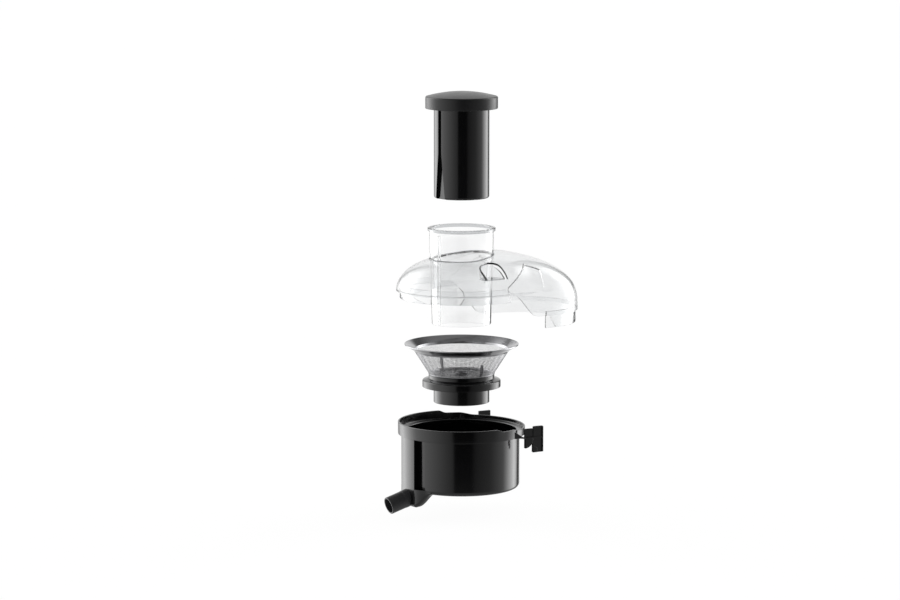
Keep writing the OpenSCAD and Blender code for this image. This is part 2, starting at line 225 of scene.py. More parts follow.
# ---------------------------------------------------------------- materials
class Net:
    """Short-hand for building one material's node tree."""

    def __init__(self, name):
        self.mat = bpy.data.materials.new(name)
        self.mat.use_nodes = True
        self.t = self.mat.node_tree
        self.t.nodes.clear()
        self.out = self.t.nodes.new("ShaderNodeOutputMaterial")
        self.bsdf = self.t.nodes.new("ShaderNodeBsdfPrincipled")
        self.link(self.bsdf, 0, self.out, 0)
        self.co = self.t.nodes.new("ShaderNodeTexCoord")

    def link(self, a, i, b, j):
        self.t.links.new(a.outputs[i], b.inputs[j])

    def node(self, kind, **props):
        n = self.t.nodes.new(kind)
        for k, v in props.items():
            setattr(n, k, v)
        return n

    def noise(self, scale, detail=3, rough=0.5, src=None, stretch=None):
        """Noise over the object's own coordinates, or over src, stretched along each axis if asked."""
        n = self.node("ShaderNodeTexNoise")
        n.inputs["Scale"].default_value = scale
        n.inputs["Detail"].default_value = detail
        n.inputs["Roughness"].default_value = rough
        src = src or (self.co, "Object")
        if stretch:
            m = self.node("ShaderNodeMapping")
            m.inputs["Scale"].default_value = stretch
            self.link(src[0], src[1], m, "Vector")
            src = (m, 0)
        self.link(src[0], src[1], n, "Vector")
        return n

    def span(self, src, i, lo, hi, a=0.3, b=0.7):
        """Maps a value's a to b range onto lo to hi."""
        m = self.node("ShaderNodeMapRange")
        m.inputs["From Min"].default_value = a
        m.inputs["From Max"].default_value = b
        m.inputs["To Min"].default_value = lo
        m.inputs["To Max"].default_value = hi
        self.link(src, i, m, 0)
        return m

    def tint(self, src, i, lo, hi, a=0.3, b=0.7):
        """Base colour that drifts from lo to hi with a value."""
        r = self.node("ShaderNodeValToRGB")
        r.color_ramp.elements[0].position = a
        r.color_ramp.elements[0].color = (*lo, 1)
        r.color_ramp.elements[1].position = b
        r.color_ramp.elements[1].color = (*hi, 1)
        self.link(src, i, r, 0)
        self.link(r, 0, self.bsdf, "Base Color")
        return r

    def bump(self, src, i, strength, dist):
        b = self.node("ShaderNodeBump")
        b.inputs["Strength"].default_value = strength
        b.inputs["Distance"].default_value = dist
        self.link(src, i, b, "Height")
        self.link(b, 0, self.bsdf, "Normal")
        return b

    def polar(self):
        """(angle round the axis, radius, z) coordinates, for marks left by turning."""
        sep = self.node("ShaderNodeSeparateXYZ")
        self.link(self.co, "Object", sep, 0)
        ang = self.node("ShaderNodeMath", operation="ARCTAN2")
        self.link(sep, 1, ang, 0)
        self.link(sep, 0, ang, 1)
        sq = self.node("ShaderNodeVectorMath", operation="MULTIPLY")
        self.link(self.co, "Object", sq, 0)
        sq.inputs[1].default_value = (1, 1, 0)
        ln = self.node("ShaderNodeVectorMath", operation="LENGTH")
        self.link(sq, 0, ln, 0)
        comb = self.node("ShaderNodeCombineXYZ")
        self.link(ang, 0, comb, 0)
        self.link(ln, "Value", comb, 1)
        self.link(sep, 2, comb, 2)
        return comb


def plastic(name, dark, light, r0, r1, grain=0.0, grain_scale=900, wave=0.0, ior=1.5):
    """Moulded plastic: faint colour drift, uneven polish, sink ripple or a fine spark-eroded grain."""
    m = Net(name)
    big = m.noise(9, 2)
    m.tint(big, 0, dark, light)
    fine = m.noise(60, 4, 0.6)
    m.link(m.span(fine, 0, r0, r1), 0, m.bsdf, "Roughness")
    m.bsdf.inputs["IOR"].default_value = ior
    if grain:
        g = m.noise(grain_scale, 3, 0.65)
        m.bump(g, 0, grain, 0.0002)
    elif wave:
        g = m.noise(26, 1, 0.4)
        m.bump(g, 0, wave, 0.001)
    return m.mat


def steel(name, lo, hi, r0, r1, turned=True, strength=0.12, metallic=1.0):
    """Steel with fine turning or polishing lines."""
    m = Net(name)
    src = (m.polar(), 0) if turned else (m.co, "Object")
    stretch = (1.5, 1400, 1400) if turned else (60, 60, 1400)
    lines = m.noise(1, 5, 0.7, src, stretch=stretch)
    m.tint(lines, 0, lo, hi, 0.25, 0.75)
    m.bsdf.inputs["Metallic"].default_value = metallic
    m.link(m.span(lines, 0, r0, r1), 0, m.bsdf, "Roughness")
    m.bump(lines, 0, strength, 0.00005)
    return m.mat


def clear(name, colour, r0, r1, ior=1.47, wave=0.1):
    """Clear moulded plastic, with a faint flow ripple."""
    m = Net(name)
    big = m.noise(14, 2)
    m.tint(big, 0, tuple(c * 0.985 for c in colour), colour)
    m.bsdf.inputs["Transmission Weight"].default_value = 1.0
    m.bsdf.inputs["IOR"].default_value = ior
    fine = m.noise(80, 3)
    m.link(m.span(fine, 0, r0, r1), 0, m.bsdf, "Roughness")
    g = m.noise(30, 1, 0.4)
    m.bump(g, 0, wave, 0.0006)
    return m.mat


GLOSS = plastic("gloss_black", (0.0015, 0.0015, 0.0017), (0.003, 0.003, 0.0033), 0.10, 0.17,
                wave=0.02, ior=1.62)
SATIN = plastic("satin_black", (0.006, 0.006, 0.0065), (0.009, 0.009, 0.0095), 0.26, 0.34, grain=0.2)
SPOUT = plastic("spout_black", (0.016, 0.016, 0.017), (0.024, 0.024, 0.025), 0.36, 0.46, grain=0.3)
NYLON = plastic("nylon", (0.03, 0.03, 0.032), (0.045, 0.045, 0.047), 0.45, 0.6, grain=0.2)
RUBBER = plastic("seal_rubber", (0.015, 0.015, 0.015), (0.025, 0.025, 0.025), 0.55, 0.7, grain=0.3)
CLEAR = clear("clear_lid", (0.925, 0.93, 0.933), 0.01, 0.04)
CHUTE = clear("clear_chute", (0.985, 0.987, 0.988), 0.01, 0.04)
# clear plastic tinted dark grey: painted shade for the dark look of thick clear edges, used on the chute's
# rim, the seam bead and the clamp pocket's floor
SHADED_CLEAR = clear("clear_edge_painted_shade", (0.60, 0.61, 0.62), 0.04, 0.12)
POLISHED = steel("polished_steel", (0.30, 0.30, 0.31), (0.44, 0.44, 0.45), 0.08, 0.17)
SCREEN = steel("screen_steel", (0.30, 0.30, 0.31), (0.44, 0.44, 0.45), 0.2, 0.36, turned=False)
STAMPED = steel("stamped_steel", (0.09, 0.09, 0.095), (0.18, 0.18, 0.185), 0.22, 0.4)
BLADE = steel("blade_steel", (0.04, 0.04, 0.042), (0.08, 0.08, 0.083), 0.25, 0.4, turned=False)
GROUND = steel("ground_steel", (0.5, 0.5, 0.52), (0.68, 0.68, 0.7), 0.18, 0.35)
BRASS = steel("turned_brass", (0.62, 0.44, 0.2), (0.78, 0.6, 0.32), 0.2, 0.36)
BRONZE = steel("sintered_bronze", (0.45, 0.3, 0.16), (0.6, 0.43, 0.24), 0.4, 0.6)
ALU = steel("turned_aluminium", (0.6, 0.61, 0.62), (0.75, 0.76, 0.77), 0.25, 0.42)

KEPT = {
    "disc_centre_cap": STAMPED, "hub_screws": GROUND, "coupling_insert": BRASS, "drive_spindle": GROUND,
    "drive_dog": NYLON, "retaining_clip": GROUND, "spindle_bush_upper": BRONZE, "spindle_bush_lower": BRONZE,
    "shaft_seal": RUBBER, "bearing_carrier": ALU, "carrier_screws": GROUND, "pulp_fins": BLADE,
    "pusher_cap": SATIN, "pusher_body": GLOSS, "lid_cover": CLEAR, "feed_chute": CHUTE,
    "basket_rim": POLISHED, "filter_mesh": SCREEN, "grater_disc": STAMPED, "basket_collar": GLOSS,
    "drive_hub": GLOSS, "juice_bowl": GLOSS, "juice_spout": SPOUT,
}
for name, mat in KEPT.items():
    NODES[name].data.materials.clear()
    NODES[name].data.materials.append(mat)


# ---------------------------------------------------------------- pusher
def low_dome(r, h, z, n=12):
    """Points from a shallow dome's edge to its crown."""
    return [(r * (1 - i / n), z + h * (1 - (1 - i / n) ** 2)) for i in range(1, n + 1)]


CAP_R = 47.0
CAP_SIDE = 16.3
PLUNGER_R = 36.0
PLUNGER_LEN = 116.0
# the groove and the chute's key sit this far round from the back, towards the front
KEY_TURN = Matrix.Rotation(rad(10), 4, "Z")


def pusher_cap():
    side = fillet([(0, 0), (CAP_R, 0, 0.7), (CAP_R, 15.4, 2.2), (CAP_R - 4, CAP_SIDE)])
    outline = side + low_dome(CAP_R - 4, 5.6, CAP_SIDE)
    sweep("pusher_cap_shell", outline, "pusher", SATIN, "pusher_cap", z0=PUSHER_Z)


def pusher_plunger():
    """Plunger with its key groove, which widens towards the lower end."""
    body = fillet([(0, -PLUNGER_LEN), (PLUNGER_R, -PLUNGER_LEN, 3.0), (PLUNGER_R, 0), (0, 0)], 6)
    plunger = sweep("pusher_plunger", body, "pusher", GLOSS, "pusher_body", z0=PUSHER_Z, n=256)
    side = [(3.1, 2), (3.1, -56), (9.4, -PLUNGER_LEN - 2)]
    groove = prism("groove_tool", [(-y, z) for y, z in side] + side[::-1], -40, -31.4, "x",
                   "pusher", GLOSS, bevel=0)
    for v in groove.data.vertices:
        v.co = KEY_TURN @ v.co
        v.co.z += PUSHER_Z * MM
    cut(plunger, [groove])
    add_bevel(plunger, 0.5, 3)


pusher_cap()
pusher_plunger()


# ---------------------------------------------------------------- feed chute
CHUTE_LOW = -44.0
CHUTE_TOP = 81.6
CHUTE_SEAM_Z = 46.0


def feed_chute():
    """Tube that flares a little up to the lid's roof and runs straight above it, with its rim and key."""
    outside = [(38.8, CHUTE_LOW, 0.6), (41, CHUTE_SEAM_Z), (42, CHUTE_SEAM_Z + 4), (42, 77.6)]
    inside = [(39.9, 77.6), (39.9, CHUTE_SEAM_Z + 4), (39.0, CHUTE_SEAM_Z)]
    tube = fillet([(36.8, CHUTE_LOW, 0.6)] + outside + inside)
    sweep("chute_tube", tube, "lid", CHUTE, "feed_chute", z0=LID_Z)
    rim = fillet([(37.8, 77.4, 0.8), (44.2, 77.4, 0.8), (44.2, CHUTE_TOP, 1.2), (37.8, CHUTE_TOP, 1.2)])
    # the rim is tinted dark grey: painted shade for its thick clear edge
    sweep("chute_rim", rim, "lid", SHADED_CLEAR, "feed_chute", z0=LID_Z)
    plan = fillet([(-37.6, -1.4), (-34.4, -1.4, 0.6), (-34.4, 1.4, 0.6), (-37.6, 1.4)], 3)
    key = prism("chute_key", plan, LID_Z - 43, LID_Z + 73, "z", "lid", CHUTE, bevel=0.3)
    for v in key.data.vertices:
        v.co = KEY_TURN @ v.co


feed_chute()


# ---------------------------------------------------------------- lid
# in plan the lid is a round of LID_R and one of HOOD_R at HOOD_X, joined by their tangents
LID_R = 85.1
CROWN = 46.8
HOOD_R = 76.7
HOOD_X = 86.0
TANG = math.asin((LID_R - HOOD_R) / HOOD_X)
END_X = HOOD_X + HOOD_R
ROOF_HOLE_R = 40.9
# the hood's crest falls in an arc beyond CREST_X and turns down beyond NOSE_X
CREST_X = 50.0
CREST_R = 150.3
NOSE_X = 120.0


def half_w(x, t):
    """Half the lid's width at x, a wall's depth t inside the outer face."""
    if x < (LID_R - t) * math.sin(TANG):
        return math.sqrt(max(0, (LID_R - t) ** 2 - x * x))
    if x < HOOD_X + (HOOD_R - t) * math.sin(TANG):
        return (LID_R - t) / math.cos(TANG) - x * math.tan(TANG)
    return math.sqrt(max(0, (HOOD_R - t) ** 2 - (x - HOOD_X) ** 2))


def crest_arc(x):
    if x < CREST_X:
        return CROWN
    return CROWN - CREST_R + math.sqrt(CREST_R ** 2 - (x - CREST_X) ** 2)


def edge_z(x):
    """Height of the lid's lower edge, which drops along the hood."""
    return -30 * ease((x - 32) / 38)


def crest_z(x, t):
    """Height of the roof along the middle."""
    if x < 0:
        return (CROWN - t) * math.sqrt(max(0, 1 - (x / (LID_R - t)) ** 2))
    end = 1.0
    if x > NOSE_X:
        end = max(0, 1 - ((x - NOSE_X) / (END_X - t - NOSE_X)) ** 5) ** 0.2
    return edge_z(x) + (crest_arc(x) - t - edge_z(x)) * end


def square_n(x):
    """Exponent of the cross-section: 2 is an ellipse, and the hood is squarer."""
    return 2 + 1.2 * ease((x + 20) / 80)


def lid_z(x, y, t):
    """Height of the lid's skin over a point of the plan."""
    w = half_w(x, t)
    if w <= 1e-9:
        return edge_z(x)
    n = square_n(x)
    b = edge_z(x)
    return b + (crest_z(x, t) - b) * max(0, 1 - min(1, abs(y) / w) ** n) ** (1 / n)


def outline(n, t):
    """Plan outline of the lid from the middle of the hood's end round to itself, evenly spaced."""
    r1, r2 = LID_R - t, HOOD_R - t
    a = math.pi / 2 - TANG
    arc2 = r2 * a
    line = HOOD_X * math.cos(TANG)
    arc1 = r1 * (math.pi - a)
    half = arc2 + line + arc1
    pts = []
    for i in range(n):
        s = 2 * half * i / n
        side = 1 if s <= half else -1
        s = s if s <= half else 2 * half - s
        if s < arc2:
            q = (HOOD_X + r2 * math.cos(s / r2), r2 * math.sin(s / r2))
        elif s < arc2 + line:
            u = (s - arc2) / line
            p0 = (HOOD_X + r2 * math.cos(a), r2 * math.sin(a))
            p1 = (r1 * math.cos(a), r1 * math.sin(a))
            q = (lerp(p0[0], p1[0], u), lerp(p0[1], p1[1], u))
        else:
            b = a + (s - arc2 - line) / r1
            q = (r1 * math.cos(b), r1 * math.sin(b))
        pts.append((q[0], side * q[1]))
    return pts


def panel_depth(x, y, z):
    """How far the hood's side panels are let in at a point of its side wall."""
    if abs(y) < 30:
        return 0.0
    chute_end = min((x - 30 - 1.43 * (z - 15)) / 2.6, (x - 24) / 1.5)
    hood_end = (81 - x) / 1.7
    top = (36 - 0.35 * (x - 60) - z) / 1.5
    # it fades out low down, where the bowl's brackets pass
    bottom = (z - 0.5) / 7
    return 2.0 * ease(min(chute_end, hood_end, top, bottom))


def lid_shell(name, n=600, m=96, wall=2.2):
    """Outer and inner skins of the lid from its edge in to the chute's hole, closed at both."""
    verts, faces = [], []
    for t in (0.0, wall):
        pts = outline(n, t)
        for i, (ox, oy) in enumerate(pts):
            # towards the chute along the plan; close rows near the edge, where the wall is steep
            ang = math.atan2(oy, ox)
            cx, cy = ROOF_HOLE_R * math.cos(ang), ROOF_HOLE_R * math.sin(ang)
            for k in range(m + 1):
                f = 1 - math.cos(math.pi / 2 * k / m)
                x, y = lerp(ox, cx, f), lerp(oy, cy, f)
                z = lid_z(x, y, t)
                d = panel_depth(x, y, z)
                if d > 0:
                    y -= math.copysign(d, y)
                verts.append((x, y, z + LID_Z))
    row = m + 1
    skin = n * row
    for i in range(n):
        a = i * row
        b = (i + 1) % n * row
        for k in range(m):
            faces.append((a + k, b + k, b + k + 1, a + k + 1))
            faces.append((skin + a + k, skin + a + k + 1, skin + b + k + 1, skin + b + k))
        faces.append((a, skin + a, skin + b, b))
        faces.append((a + m, b + m, skin + b + m, skin + a + m))
    return make(name, verts, faces, "lid", CLEAR, "lid_cover", merge=False)


# the clamp pocket: its direction, the distance of its round back's centre, its half width and its floor
POCKET_A = -82.0
POCKET_R = 65.0
POCKET_W = 14.0
POCKET_Z = 21.5


def place_pocket(ob):
    """Turns a piece modelled on the +X side round to the clamp pocket's place on the lid."""
    rot = Matrix.Rotation(rad(POCKET_A), 4, "Z")
    for v in ob.data.vertices:
        p = rot @ v.co
        v.co = (p.x, p.y, p.z + LID_Z * MM)
    return ob


def alcove(r, reach):
    """Plan of a clamp pocket of half width r: a half circle that opens outwards, up to reach."""
    back = [(POCKET_R + r * math.cos(rad(a)), r * math.sin(rad(a))) for a in range(90, 271, 6)]
    return [(reach, r)] + back + [(reach, -r)]


def pocket_wall():
    """Round back and cheeks of the clamp pocket, with their tops following the dome."""
    inner = alcove(POCKET_W, 72.6)
    outer = alcove(POCKET_W + 1.6, 72.6)
    verts, faces = [], []
    for (x, y), (u, v) in zip(inner, outer):
        top = CROWN * math.sqrt(max(0, 1 - (u * u + v * v) / (LID_R - 0.8) ** 2)) - 0.4
        top = max(top, POCKET_Z + 0.3)
        verts += [(x, y, POCKET_Z - 1.6), (x, y, top), (u, v, top), (u, v, POCKET_Z - 1.6)]
    n = len(inner)
    for i in range(n - 1):
        a = i * 4
        b = a + 4
        for k in range(4):
            k2 = (k + 1) % 4
            faces.append((a + k, b + k, b + k2, a + k2))
    faces += [(3, 2, 1, 0), (n * 4 - 4, n * 4 - 3, n * 4 - 2, n * 4 - 1)]
    return place_pocket(make("pocket_wall", verts, faces, "lid", CLEAR, "lid_cover"))


def pocket_floor():
    """Floor of the clamp pocket, with its outer edge bowed like the dome."""
    plan = alcove(POCKET_W - 0.05, 73.2) + [(74.6, -7), (75.0, 0), (74.6, 7)]
    # the floor is tinted dark grey: painted shade on clear plastic
    ob = prism("pocket_floor", plan, POCKET_Z - 1.5, POCKET_Z + 0.1, "z", "lid", SHADED_CLEAR, "lid_cover", bevel=0.3)
    return place_pocket(ob)


shell = lid_shell("lid_shell")
pocket_tool = prism("pocket_tool", alcove(POCKET_W, 100), POCKET_Z, 60, "z", "lid", CLEAR, bevel=0)
cut(shell, [place_pocket(pocket_tool)])
pocket_wall()
pocket_floor()


def seam(a):
    """Bead where the feed chute passes through the roof; it follows the roof's height."""
    z = lid_z(41.6 * math.cos(rad(a)), 41.6 * math.sin(rad(a)), 0.0)
    return [(41.55 + 1.0 * math.cos(rad(t)), z + 0.25 + 0.8 * math.sin(rad(t))) for t in range(0, 360, 36)]


# the bead is tinted dark grey: painted shade along the seam
sweep("chute_seam", seam, "lid", SHADED_CLEAR, "lid_cover", n=144, z0=LID_Z)

LIP_HALF = 114


def lip(a):
    """Lip inside the bowl's rim and the flange over it, running out at both ends of the arc."""
    t = ease((LIP_HALF - abs(a - 180)) / 7)
    ro = lerp(81.3, 84.6, t)
    top = lerp(2.2, 8, t)
    low = [(78.6, -9.7, 0.6), (80.6, -9.7, 0.6), (80.6, 0)]
    return fillet(low + [(ro, 0, 0.3), (ro, 1.6, 0.3), (80.6, 1.6), (80.6, top), (78.6, top)], 3)


sweep("lid_lip", lip, "lid", CLEAR, "lid_cover", n=240, arc=(180 - LIP_HALF, 180 + LIP_HALF), z0=LID_Z)
# skirt round the hood's end
skirt = [(72.1, -46.6, 0.6), (74.1, -46.6, 0.6), (74.1, -30.5), (75.3, -30.5), (75.3, -25), (72.1, -25)]
sweep("hood_skirt", fillet(skirt, 3), "lid", CLEAR, "lid_cover", n=120, arc=(-91.6, 91.6), z0=LID_Z,
      centre=(HOOD_X, 0))


# ---------------------------------------------------------------- filter basket
SCREEN_TOP = (61.1, -9.9)
SCREEN_LOW = (42.3, -39.3)
DISC_Z = -41.6
DISC_TOP = -40.4

flange = [(74.4, 0, 0.3), (74.4, -1.3, 0.4), (62.6, -8.1, 0.6), (61.6, -10.0)]
flange += [(60.3, -10.0), (61.4, -7.0, 0.6), (73.4, 0, 0.3)]
sweep("basket_flange", fillet(flange, 4), "basket", POLISHED, "basket_rim", z0=BASKET_Z, n=240)


def screen(name, rings=26, spokes=240, wire=0.30):
    """Woven screen of the cone: hoops and slanted wires between the flange and the lower hem."""
    top, low = SCREEN_TOP, SCREEN_LOW
    verts, faces = [], []

    def hoop(r, z, w, seg=180, k=4):
        base = len(verts)
        for i in range(seg):
            a = 2 * math.pi * i / seg
            for j in range(k):
                b = 2 * math.pi * (j + 0.5) / k
                rr = r + w * math.cos(b)
                verts.append((rr * math.cos(a), rr * math.sin(a), z + w * math.sin(b)))
        for i in range(seg):
            i2 = (i + 1) % seg
            for j in range(k):
                j2 = (j + 1) % k
                faces.append((base + i * k + j, base + i2 * k + j, base + i2 * k + j2, base + i * k + j2))

    for i in range(1, rings):
        u = i / rings
        hoop(lerp(top[0], low[0], u), lerp(top[1], low[1], u), wire / 2)
    for i in range(spokes):
        a = 2 * math.pi * i / spokes
        ca, sa = math.cos(a), math.sin(a)
        base = len(verts)
        for u in (0.0, 1.0):
            r, z = lerp(top[0], low[0], u), lerp(top[1], low[1], u)
            for dr, dt in ((1, 0), (0, 1), (-1, 0), (0, -1)):
                rr = r + dr * wire / 2
                tt = dt * wire / 2
                verts.append((rr * ca - tt * sa, rr * sa + tt * ca, z))
        for j in range(4):
            j2 = (j + 1) % 4
            faces.append((base + j, base + j2, base + 4 + j2, base + 4 + j))
        faces.append((base + 3, base + 2, base + 1, base))
        faces.append((base + 4, base + 5, base + 6, base + 7))
    verts = [(x, y, z + BASKET_Z) for x, y, z in verts]
    return make(name, verts, faces, "basket", SCREEN, "filter_mesh", angle=60, merge=False)


screen("screen_weave")
hem_low = fillet([(41.7, -40.4), (42.7, -40.4, 0.2), (43.6, -38.6, 0.2), (42.6, -38.6, 0.2)], 2)
sweep("screen_low_hem", hem_low, "basket", SCREEN, "filter_mesh", z0=BASKET_Z)

disc = fillet([(0, DISC_Z), (41.5, DISC_Z, 0.2), (41.5, DISC_TOP, 0.3), (12, -40.2), (0, -40.2)], 3)
sweep("grater_plate", disc, "basket", STAMPED, "grater_disc", z0=BASKET_Z)


def teeth():
    """Rows of raised cutting teeth, each a leaning three-sided spike."""
    verts, faces = [], []
    for k, r in enumerate([12.5, 16, 19.5, 28.5, 32, 35.5]):
        n = int(10 + 3 * k)
        for i in range(n):
            a = 2 * math.pi * (i + 0.37 * k) / n
            ca, sa = math.cos(a), math.sin(a)
            b = len(verts)
            for lr, lt, lz in ((-0.9, -1.3, 0), (0.9, -1.3, 0), (0.0, 1.4, 0), (0, 0.6, 1.1)):
                rr = r + lr
                verts.append((rr * ca - lt * sa, rr * sa + lt * ca, BASKET_Z + DISC_TOP - 0.02 + lz))
            faces += [(b, b + 2, b + 1), (b, b + 1, b + 3), (b + 1, b + 2, b + 3), (b + 2, b, b + 3)]
    return make("grater_teeth", verts, faces, "basket", STAMPED, "grater_disc", merge=False)


teeth()

collar_top = [(36.52, DISC_Z), (41.4, DISC_Z), (42.0, -40.45, 0.1), (43.0, -40.45, 0.3)]
collar_side = [(43.0, -44.6, 0.8), (45.6, -45.9, 1.2), (51.2, -47.6, 2.2), (51.2, -56.4, 0.6)]
collar_under = [(48.7, -56.4, 0.5), (48.7, -49.5, 1.0), (36.52, -49.5)]
collar = fillet(collar_top + collar_side + collar_under, 6)
sweep("collar_ring", collar, "basket", GLOSS, "basket_collar", z0=BASKET_Z)
hub_skirt = [(36.5, DISC_Z), (36.5, -76.8, 0.6), (33.5, -76.8, 0.6), (33.5, -44.6, 1.2)]
hub_boss = [(14, -44.6, 1.0), (14, -55, 0.5), (8.5, -55)]
hub = fillet([(8.5, DISC_Z)] + hub_skirt + hub_boss, 5)
sweep("hub_sleeve", hub, "basket", GLOSS, "drive_hub", z0=BASKET_Z)


# ---------------------------------------------------------------- juice bowl
BOWL_R = 75.9
BOWL_WALL = 2.5
BAND_R = 83.2
BAND_LOW = 71.0
RIM_Z = 86.7
SUMP_R = 81.3
SUMP_DROP = 18.5
# half angles of the sump column and of the far edges of the let-in strips beside it
SUMP_HALF = 13.0
STRIP_HALF = 23.4


def rel(a):
    """Angle from the sump side, -180 to 180."""
    return a % 360 - 180


def rim_top(a):
    """Height of the rim, which steps down twice on the pulp outlet's side."""
    off = abs((a + 180) % 360 - 180)
    return lerp(83.2, RIM_Z, ease((off - 76) / 8)) - 2.7 * (1 - ease((off - 50) / 14))


def bowl_outline(a):
    """Section of the bowl at an angle: wall, band, rim, drain floor, labyrinth wall and centre tube."""
    ro = BOWL_R - 2.5 if SUMP_HALF < abs(rel(a)) < STRIP_HALF else BOWL_R
    ri = ro - BOWL_WALL - 0.4
    top = rim_top(a)
    outside = [(24, 0, 0.4), (ro, 0, 6.0), (ro, BAND_LOW), (BAND_R, BAND_LOW, 0.4), (BAND_R, top, 0.6)]
    ledge = [(81, top, 0.5), (81, 75.8, 0.6), (71.5, 75.8, 0.9), (71.5, 72, 0.4)]
    inside = [(ri, 70, 0.3), (ri, BOWL_WALL, 4.5)]
    labyrinth = [(42, BOWL_WALL, 1.0), (42, 28, 0.6), (39, 28, 0.6), (39, BOWL_WALL, 1.0)]
    tube = [(26.5, BOWL_WALL, 1.0), (26.5, 14.5, 1.0), (13, 14.5, 0.8), (13, 22, 0.5), (9.02, 22, 0.3)]
    recess = [(9.02, 12), (24, 12, 0.8)]
    return fillet(outside + ledge + inside + labyrinth + tube + recess, 5)


steps = [180 + side * half for half in (SUMP_HALF, STRIP_HALF) for side in (-1, 1)]
sweep("bowl_shell", bowl_outline, "bowl", GLOSS, "juice_bowl", n=288, breaks=steps)

sump = [(72, 1.0), (72, 70.9), (SUMP_R, 70.9), (SUMP_R, -SUMP_DROP, 6.0), (72.5, -SUMP_DROP, 4.0), (68, 1.0)]
column = sweep("sump_column", fillet(sump, 6), "bowl", GLOSS, "juice_bowl", n=20,
               arc=(180 - SUMP_HALF, 180 + SUMP_HALF))
add_bevel(column, 0.5, 3)


def belly(a):
    """Rounded underside of the sump; it thins out towards its two ends."""
    off = abs(rel(a))
    low = lerp(-SUMP_DROP + 0.1, 0.2, ease((off - 11) / 19) ** 1.3)
    ro = lerp(SUMP_R - 0.1, BOWL_R - 0.5, ease((off - 12) / 16))
    mid = min(low * 0.5, 0.1)
    top = [(60, 0.6), (62, 2.0), (74, 5.0), (ro, 5.5)]
    return fillet(top + [(ro, low, 5.5), (ro - 10, low, 5.0), (62, mid, 3.0)], 6)


sweep("sump_belly", belly, "bowl", GLOSS, "juice_bowl", n=64, arc=(150, 210))


# the brackets: their inner face, the plate's outer face, the foot and top of what stands on it (all y),
# the plate's lower edge (z) and its far end (x)
PLATE_IN = 69.6
PLATE_OUT = 72.2
RAISED_IN = 71.9
RAISED_OUT = 73.8
PLATE_LOW = 50.6
PLATE_END = 81.4


def bracket(side):
    """Arm and plate that flank the pulp outlet, with the rib, gusset and end flange on the outer face."""
    tag = "near" if side < 0 else "far"

    def slab(name, pts, y0, y1, bevel=0.35):
        lo, hi = sorted((y0 * side, y1 * side))
        prism("bracket_%s_%s" % (name, tag), pts, lo, hi, "y", "bowl", GLOSS, "juice_bowl", bevel=bevel)

    if side < 0:
        ramp = [(lerp(36, 54.8, i / 10), lerp(80.4, 71.6, ease(i / 10))) for i in range(11)]
        slab("arm", [(36, 71.0), (48, 70.6), (54.8, 69.6)] + ramp[::-1], PLATE_IN, RAISED_OUT)
        slab("box", fillet([(54.6, 69.8), (66.4, 69.8), (66.4, 82.5), (54.6, 82.5, 0.8)], 4), PLATE_IN, 71.6)
        ends = [(66, PLATE_LOW, 1.2), (PLATE_END, PLATE_LOW, 1.2), (PLATE_END, 85, 1.2), (67.2, 85, 1.0)]
        slab("plate", fillet(ends + [(67.2, 70), (66, 70)], 4), PLATE_IN, PLATE_OUT)
        curve = [(54.7 + 11.5 * math.cos(rad(a)), 69.0 + 12.0 * math.sin(rad(a))) for a in range(0, -91, -10)]
        slab("gusset", [(54.7, 69.8), (66.2, 69.8)] + curve, PLATE_IN, RAISED_OUT)
        heel = fillet([(66, 50.8), (72.5, 50.8), (72.5, 57, 1.5), (66, 60)], 4)
        slab("heel", heel, RAISED_IN - 0.1, RAISED_OUT)
        flange_top = 84.6
    else:
        ramp = [(lerp(64, 36, i / 8), lerp(76, 80.4, ease(i / 8))) for i in range(9)]
        slab("arm", [(34, 69.6), (64, 69.6), (64, 76)] + ramp, PLATE_IN, PLATE_OUT)
        ends = [(63.6, PLATE_LOW, 1.2), (PLATE_END, PLATE_LOW, 1.2)]
        slab("plate", fillet(ends + [(PLATE_END, 83.0, 1.0), (63.6, 83.0, 1.0)], 4), PLATE_IN, PLATE_OUT)
        flange_top = 82.8
    slab("rib", [(54.7, 69.6), (80.4, 69.6), (80.4, 71.4), (54.7, 71.4)], RAISED_IN, RAISED_OUT, 0.3)
    slab("flange", [(79.8, 51), (81.3, 51), (81.3, flange_top), (79.8, flange_top)], RAISED_IN, RAISED_OUT)


bracket(-1)
bracket(1)


# ---------------------------------------------------------------- spout
SPOUT_Z = -8.6
SPOUT_TILT = 17
SPOUT_LEN = 27.0


def spout():
    """Plain pipe with a short collar at its root, sloping down from the sump."""
    collar_part = [(9.3, -6), (11.6, -6), (11.6, 4.6, 0.4), (11.3, 5.0)]
    pipe = fillet(collar_part + [(11.3, SPOUT_LEN, 0.7), (9.3, SPOUT_LEN, 0.5)], 4)
    ob = sweep("spout_pipe", pipe, "bowl", SPOUT, "juice_spout", n=128)
    turn = Matrix.Rotation(rad(-90 - SPOUT_TILT), 4, "Y")
    place = Matrix.Translation((-SUMP_R * MM, 0, SPOUT_Z * MM)) @ turn
    for v in ob.data.vertices:
        v.co = place @ v.co
    return ob


spout()


# ---------------------------------------------------------------- studio
AZ = -28.0
EL = 8.3
DIST = 4.5
LENS = 138.46
FLOOR_Z = -0.034
FLOOR_GLOW = 0.96

view_dir = Vector((math.sin(rad(AZ)), -math.cos(rad(AZ)), 0))
right = Vector((math.cos(rad(AZ)), math.sin(rad(AZ)), 0))


def camera():
    """Camera at the photograph's angle, level with the middle of the exploded unit."""
    aim = Vector((0, 0, 0.246)) - right * 0.015
    data = bpy.data.cameras.new("camera")
    cam = bpy.data.objects.new("camera", data)
    bpy.context.scene.collection.objects.link(cam)
    away = view_dir * math.cos(rad(EL)) + Vector((0, 0, math.sin(rad(EL))))
    cam.location = aim + away * DIST
    cam.rotation_euler = (aim - cam.location).to_track_quat("-Z", "Y").to_euler()
    data.sensor_width = 36
    data.lens = LENS
    data.clip_end = 200
    bpy.context.scene.camera = cam


